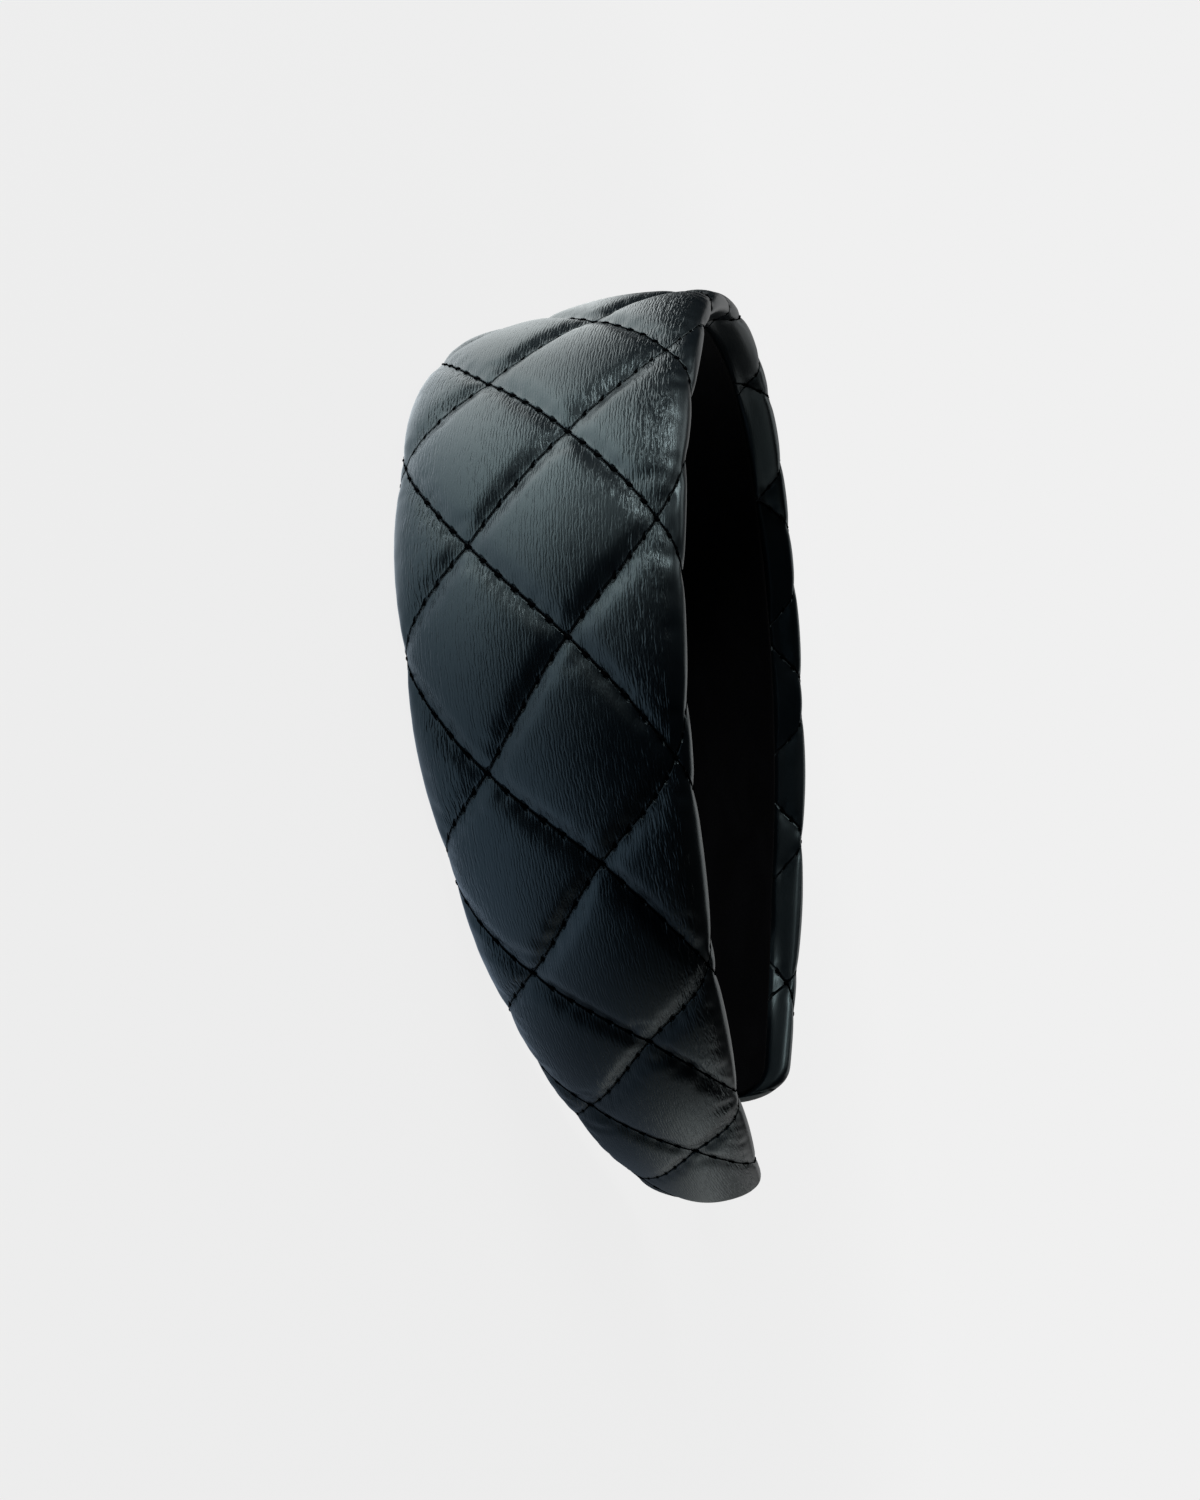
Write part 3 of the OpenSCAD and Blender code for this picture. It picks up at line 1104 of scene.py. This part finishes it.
    def refine(self, mesh: Mesh) -> None:
        """Divide the mesh once and pull it in at each stitch.

        Args:
            mesh: the cover's mesh, which is changed in place.
        """
        holder = in_scene("cover in work", mesh)
        finer = holder.modifiers.new("finer", "SUBSURF")
        finer.levels = finer.render_levels = 1
        ready = holder.evaluated_get(bpy.context.evaluated_depsgraph_get())
        bm = bmesh.new()
        bm.from_mesh(ready.data)
        bpy.data.objects.remove(holder)
        bm.to_mesh(mesh)
        bm.free()
        quilt = self.quilt
        along, girth = self.places_of(mesh)
        a, b = quilt.rows(along, girth)
        pull = np.zeros_like(along)
        for off, on in zip(quilt.off_seams(along, girth), (b, a)):
            beat = 0.5 + 0.5 * np.cos(2 * np.pi * on * quilt.stitches_a_side)
            pull += quilt.pull * beat * np.exp(-(off / quilt.pull_w) ** 2)
        inner = self.band.girths(along)[:, Edge.INNER_ROLL]
        pull *= 1 - smooth(0.0, quilt.pull_fade, np.abs(girth) - inner)
        set_points(mesh, points_of(mesh) - normals_of(mesh) * pull[:, None] * MM)

    def build(self, material: Material) -> bpy.types.Object:
        """Make the piece and let it stand for the solid cover.

        Args:
            material: the leather.

        Returns:
            The finished piece.
        """
        piece = as_piece("quilted_leather_cover", self.mesh(), material)
        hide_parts("quilted_cover")
        return piece


@dataclass(frozen=True)
class Bead:
    """One part of a stitch: which seams have it, where it sits on them, and its size."""

    run: SeamRun
    offset: float
    length: float
    width: float
    height: float
    rise: float


@dataclass
class QuiltingThread:
    """The stitches of the seams: a thin strand, with a thicker slanted part at each needle hole.

    They stop short of the lining and of the tips. A bead's ends are blunter than a ball's and sink
    into the leather.
    """

    cover: QuiltedCover
    beads: Tuple[Bead, ...] = (Bead(SeamRun.FALLING, 0.5, 3.40, 0.20, 0.16, 0.01),
                               Bead(SeamRun.FALLING, 0.0, 1.35, 0.62, 0.40, 0.04),
                               Bead(SeamRun.RISING, 0.5, 3.40, 0.18, 0.14, 0.00),
                               Bead(SeamRun.RISING, 0.0, 1.00, 0.42, 0.30, 0.01))
    spare_rows: int = 3
    off_lining: float = 0.6
    off_tip: float = 1.4
    blunt: float = 0.75
    sink: float = 0.10

    def stitches(self, bead: Bead) -> Array:
        """List the places of one part of the stitches.

        Args:
            bead: which part.

        Returns:
            The seam's number and the middle of the part on it, one row for each.
        """
        band, quilt = self.cover.band, self.cover.quilt
        rows = int(band.half_along / quilt.diamond_l) + self.spare_rows
        most = 3 * rows * quilt.stitches_a_side
        on = (np.arange(-most, most) + bead.offset) / quilt.stitches_a_side
        row, middle = np.meshgrid(np.arange(-rows, rows + 1), on, indexing="ij")
        along, girth = quilt.point(bead.run, row, middle, 0 * middle)
        shown = np.abs(girth) < band.girths(along)[..., Edge.TURNED] - self.off_lining
        shown &= np.abs(along) < band.half_along - self.off_tip
        return np.stack([row[shown], middle[shown]], -1)

    def leather_over(self, leather: BVHTree, along: Array, girth: Array) -> Array:
        """Measure how far the finished leather lies over the sewn surface.

        Args:
            leather: the finished cover, ready to be measured.
            along: places along the band.
            girth: places round the section.

        Returns:
            The height of the leather at each place.
        """
        base = self.cover.surface(along, girth, 0 * along)
        out = self.cover.surface(along, girth, 0 * along + 1.0) - base
        length = np.linalg.norm(out, axis=1)
        height = np.zeros(len(along))
        for index in np.flatnonzero(length > TINY):
            way = out[index] / length[index]
            gap = leather.ray_cast(Vector(base[index] + way * MM), Vector(-way), 2 * MM)[3]
            height[index] = 0.0 if gap is None else 1.0 - gap / MM
        return height

    def mesh(self, cover: Mesh) -> Mesh:
        """Build all the stitches as one mesh of bent beads that lie on the leather.

        Args:
            cover: mesh of the finished cover.

        Returns:
            The mesh in the room.
        """
        faces = [tuple(face.vertices) for face in cover.polygons]
        leather = BVHTree.FromPolygons(points_of(cover).tolist(), faces)
        template = bpy.data.meshes.new("bead")
        with shaping(template) as ball:
            bmesh.ops.create_icosphere(ball, subdivisions=2, radius=1.0)
        unit, quilt, placed, runs = points_of(template), self.cover.quilt, [], []
        x = np.sign(unit[:, 0]) * np.abs(unit[:, 0]) ** self.blunt
        mesh = bpy.data.meshes.new("quilting_thread")
        with shaping(mesh) as bm:
            for bead in self.beads:
                reach = x * bead.length / 2
                beside = unit[:, 1] * bead.width / 2 + (0 if bead.offset else quilt.slant * reach)
                ends = bead.rise - self.sink * x ** 4 + unit[:, 2] * bead.height / 2
                for row, middle in self.stitches(bead):
                    bm.from_mesh(template)
                    on = middle + reach / quilt.side
                    along, girth = quilt.point(bead.run, row, on, beside)
                    seam = quilt.point(bead.run, row, on, 0 * on)
                    sag = self.cover.depth(along, girth) - self.cover.depth(*seam)
                    lift = self.leather_over(leather, *seam) + sag + ends
                    placed.append(self.cover.surface(along, girth, lift))
                    runs.append(reach)
        bpy.data.meshes.remove(template)
        set_points(mesh, np.concatenate(placed))
        turn = np.tile(np.arctan2(unit[:, 2], unit[:, 1]), len(placed))
        write_uv(mesh, "thread_run", np.concatenate(runs), turn)
        mesh.shade_smooth()
        LOG.info("quilting thread: %d parts of stitches", len(placed))
        return mesh

    def build(self, material: Material, cover: Mesh) -> bpy.types.Object:
        """Make the piece that holds every stitch."""
        return as_piece("quilting_thread", self.mesh(cover), material)


@dataclass
class Lining:
    """The cloth strip on the inner face, between the two turned edges.

    ripple gives the height and length of the cloth's faint ripples, their bend and its turns across
    the strip, and the turns and length of the swell that they ride on. side_uv is the width that a
    side takes in the UV map.
    """

    band: BandForm
    thickness: float = 1.0
    side_gap: float = 0.5
    seat_gap: float = 0.2
    end_gap: float = 1.0
    least_half: float = 0.05
    end_blunt: int = 4
    crown: float = 0.12
    ripple: Tuple[float, ...] = (0.05, 3.1, 1.7, 2.2, 5.0, 11.0)
    bulge: float = 0.03
    side_from: float = 0.45
    side_uv: float = 3.0
    side_angles: Tuple[float, ...] = (20, 45, 70, 90)
    tip_angles: Tuple[float, ...] = (15, 30, 45, 58, 70, 80, 86)
    step_along: float = 1.6
    seat_points: int = 7
    face_steps: int = 22

    def section(self) -> Array:
        """List the points round the strip's section.

        Returns:
            Share of the half width, and share of the thickness from the seat down.
        """
        turn = np.radians(self.side_angles)
        wide = 1.0 - self.bulge * (1 - np.cos(turn))
        drop = self.side_from + (1 - self.side_from) * np.sin(turn)
        side = np.concatenate([[[1.0, self.side_from]], np.stack([wide, drop], -1)])
        over = np.linspace(-1.0, 1.0, self.seat_points)
        under = np.linspace(1 - self.bulge, self.bulge - 1, self.face_steps + 1)[1:-1]
        top = np.stack([over, 0 * over], -1)
        low = np.stack([under, 1.0 + 0 * under], -1)
        return np.concatenate([top, side, low, side[::-1] * (-1.0, 1.0), top[:1]])

    def build(self, material: Material) -> bpy.types.Object:
        """Make the piece and let it stand for the solid lining.

        Args:
            material: the napped cloth.

        Returns:
            The finished piece.
        """
        band, ring = self.band, self.section()
        rows = band.sections(self.step_along, band.tip_round - self.end_gap, self.tip_angles)
        mesh, row, column = wrapped_grid("inner_lining", len(rows) - 1, len(ring) - 1)
        along, share, drop = rows[row], ring[column, 0], ring[column, 1]
        half = band.half_width(along) - band.turned_w(along) - self.side_gap
        half = np.maximum(half, self.least_half) * np.sqrt(1 - band.in_tip(along) ** self.end_blunt)
        high, length, bend, turns, swell_turns, swell_length = self.ripple
        ripple = high * np.sin(along / length + bend * np.sin(share * turns))
        ripple = ripple * np.sin(share * swell_turns + along / swell_length)
        face = np.where(drop > 0.99, self.crown * (1 - share ** 2) + ripple, 0.0)
        out = band.seat_h * band.thin(along) - self.seat_gap - drop * self.thickness - face
        write_uv(mesh, "length_and_girth", along, share * half + self.side_uv * drop)
        set_points(mesh, band.place(along, share * half, out))
        close_up(mesh)
        piece = as_piece("inner_lining", mesh, material)
        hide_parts("lining")
        return piece


# Studio

@dataclass(frozen=True)
class SoftBox:
    """One soft rectangular light, aimed at a point."""

    name: str
    at: Triple
    aim: Triple
    size: Span
    watts: float

    def hang(self) -> None:
        """Put the light in the scene."""
        light = bpy.data.lights.new(self.name, "AREA")
        light.shape = "RECTANGLE"
        light.size, light.size_y = self.size
        light.energy = self.watts
        turn = (Vector(self.aim) - Vector(self.at)).to_track_quat("-Z", "Y")
        stand = Matrix.Translation(self.at) @ turn.to_matrix().to_4x4()
        in_scene(self.name, light).matrix_world = stand


@dataclass(frozen=True)
class Viewpoint:
    """The camera: where it stands, what it looks at, and how far it is rolled."""

    at: Triple = (0.24934, -0.04618, 0.07948)
    aim: Triple = (0.00337, -0.00242, 0.00878)
    roll: float = 80.235
    lens: float = 35.32
    sensor: float = 36.0
    nearest: float = 0.01

    def set_up(self) -> None:
        """Make the scene's camera."""
        data = bpy.data.cameras.new("camera")
        data.sensor_fit = "VERTICAL"
        data.sensor_height = self.sensor
        data.lens = self.lens
        data.clip_start = self.nearest
        ahead = (Vector(self.aim) - Vector(self.at)).normalized()
        level = ahead.cross(Vector((0.0, 0.0, 1.0))).normalized()
        upright = level.cross(ahead)
        roll = math.radians(self.roll)
        right = level * math.cos(roll) + upright * math.sin(roll)
        up = upright * math.cos(roll) - level * math.sin(roll)
        turn = Matrix((right, up, -ahead)).transposed().to_4x4()
        camera = in_scene("camera", data)
        camera.matrix_world = Matrix.Translation(self.at) @ turn
        bpy.context.scene.camera = camera


@dataclass(frozen=True)
class Studio:
    """A plain pale floor, the same pale tone behind it, and soft lights.

    The floor also glows for all rays but the camera's, as large soft lights below would. Each ramp
    of a glow names an axis of the floor, two places on it, and the strength at each.
    """

    tone: float = 0.871
    floor_size: float = 8.0
    floor_grey: Colour = (0.8, 0.8, 0.8, 1.0)
    floor_shade: float = 0.05
    shade_reach: Span = (0.12, 0.45)
    leg_glow: Tuple[Ramp, ...] = (
        ("Y", -0.130, -0.015, 4.5, 0.80), ("Y", -0.42, -0.16, 0.0, 1.0), ("Y", 0.00, 0.055, 1.0, 0.22),
        ("X", 0.0, 0.05, 0.52, 1.0), ("X", 0.085, 0.135, 1.0, 0.0), ("X", -0.20, -0.10, 0.1, 1.0))
    tip_glow: Tuple[Ramp, ...] = (
        ("Y", 0.07, 0.18, 0.0, 0.85), ("X", 0.02, 0.07, 1.0, 0.1), ("X", -0.04, 0.0, 0.1, 1.0))
    cold_glow: Tuple[Ramp, ...] = (("Y", -0.10, 0.02, 0.0, 1.0), ("Y", 0.07, 0.11, 1.0, 0.0))
    arch_middle: Triple = (-0.004, -0.008, 0.0)
    arch_shade: Span = (0.045, 0.062)
    white: Colour = (0.95, 1.0, 1.0, 1.0)
    cold_white: Colour = (0.80, 1.0, 1.28, 1.0)
    room_glow: float = 0.004
    lights: Tuple[SoftBox, ...] = (
        SoftBox("upper edge light", (-0.11, -0.29, 0.55), (0.04, -0.03, 0.03), (0.30, 0.30), 0.7),
        SoftBox("lower edge light", (-0.31, 0.23, 0.46), (0.05, 0.02, 0.03), (0.40, 0.30), 0.5),
        SoftBox("window light", (0.13, -0.57, 0.38), (0.06, -0.04, 0.03), (0.22, 0.14), 2.0),
        SoftBox("low light", (-0.12, 0.62, 0.11), (0.03, 0.06, 0.02), (0.70, 0.22), 0.24),
        SoftBox("back light", (-0.62, 0.12, 0.24), (0.04, 0.0, 0.03), (0.9, 0.5), 0.7),
        SoftBox("side light", (0.31, -0.48, 0.07), (0.055, -0.05, 0.03), (0.36, 0.12), 0.15))
    view: Viewpoint = Viewpoint()

    @property
    def pale_tone(self) -> Colour:
        """Colour that the camera sees behind the headband."""
        return (self.tone, self.tone, self.tone, 1.0)

    def product(self, board: Board, place: bpy.types.Node, ramps: Iterable[Ramp]) -> Socket:
        """Multiply ramps over the floor.

        Args:
            board: node tree of the floor.
            place: node that gives the place on the floor.
            ramps: axis, low, high, start and end of each ramp.

        Returns:
            The product.
        """
        result = None
        for axis, *span in ramps:
            value = board.ramp(place.outputs[axis], *span)
            result = value if result is None else board.times(result, value)
        return result

    def pale(self) -> Material:
        """Make the floor's material, even in tone to the camera and with a light shadow.

        Returns:
            The node material.
        """
        material = bpy.data.materials.new("pale floor")
        material.use_nodes = True
        board = Board(material.node_tree)
        board.tree.nodes.clear()
        here = board.add("ShaderNodeTexCoord").outputs["Object"]
        apart = board.add("ShaderNodeVectorMath", {0: here}, operation="LENGTH").outputs["Value"]
        shade = board.ramp(apart, *self.shade_reach, self.floor_shade, 0.0)
        lit = board.add("ShaderNodeBsdfDiffuse", {"Color": self.floor_grey})
        even = board.add("ShaderNodeEmission", {"Color": self.pale_tone})
        shown = board.add("ShaderNodeMixShader", {0: shade, 1: even.outputs[0], 2: lit.outputs[0]})
        place = board.add("ShaderNodeSeparateXYZ", {0: here})
        leg, tip, cold = (self.product(board, place, ramps)
                          for ramps in (self.leg_glow, self.tip_glow, self.cold_glow))
        inside = board.add("ShaderNodeVectorMath", {0: here, 1: self.arch_middle}, operation="DISTANCE")
        glow = board.times(board.plus(leg, tip), board.ramp(inside.outputs["Value"], *self.arch_shade))
        white = board.mix(cold, self.white, self.cold_white)
        bounce = board.add("ShaderNodeEmission", {"Color": white, "Strength": glow})
        board.split_rays(shown, bounce, "ShaderNodeOutputMaterial")
        return material

    def set_up(self) -> None:
        """Lay the floor, light the room and set the camera."""
        mesh = bpy.data.meshes.new("studio_floor")
        with shaping(mesh) as bm:
            bmesh.ops.create_grid(bm, x_segments=1, y_segments=1, size=self.floor_size / 2)
        mesh.materials.append(self.pale())
        floor = in_scene("studio_floor", mesh)
        world = bpy.data.worlds.new("pale room")
        world.use_nodes = True
        bpy.context.scene.world = world
        board = Board(world.node_tree)
        board.tree.nodes.clear()
        shown = board.add("ShaderNodeBackground", {"Color": self.pale_tone})
        dim = board.add("ShaderNodeBackground",
                        {"Color": (1.0, 1.0, 1.0, 1.0), "Strength": self.room_glow})
        board.split_rays(shown, dim, "ShaderNodeOutputWorld")
        for light in self.lights:
            light.hang()
        self.view.set_up()
        bpy.context.scene.view_settings.view_transform = "Standard"


def report(piece: bpy.types.Object) -> None:
    """Log a finished piece with its size and its number of triangles.

    Args:
        piece: the finished piece.
    """
    points = points_of(piece.data)
    size = (points.max(axis=0) - points.min(axis=0)) / MM
    triangles = sum(len(face.vertices) - 2 for face in piece.data.polygons)
    LOG.info("%s: %.1f x %.1f x %.1f mm, %d triangles", piece.name, *size, triangles)


def main() -> None:
    """Build the headband and its studio."""
    logging.basicConfig(level=logging.INFO, format="%(name)s: %(message)s")
    band, quilt = BandForm(), Quilt()
    cover = QuiltedCover(band, quilt)
    leather = cover.build(FauxLeather().make(quilt))
    report(leather)
    report(QuiltingThread(cover).build(SewingThread().make(), leather.data))
    report(Lining(band).build(NapCloth().make()))
    Studio().set_up()


if __name__ == "__main__":
    main()
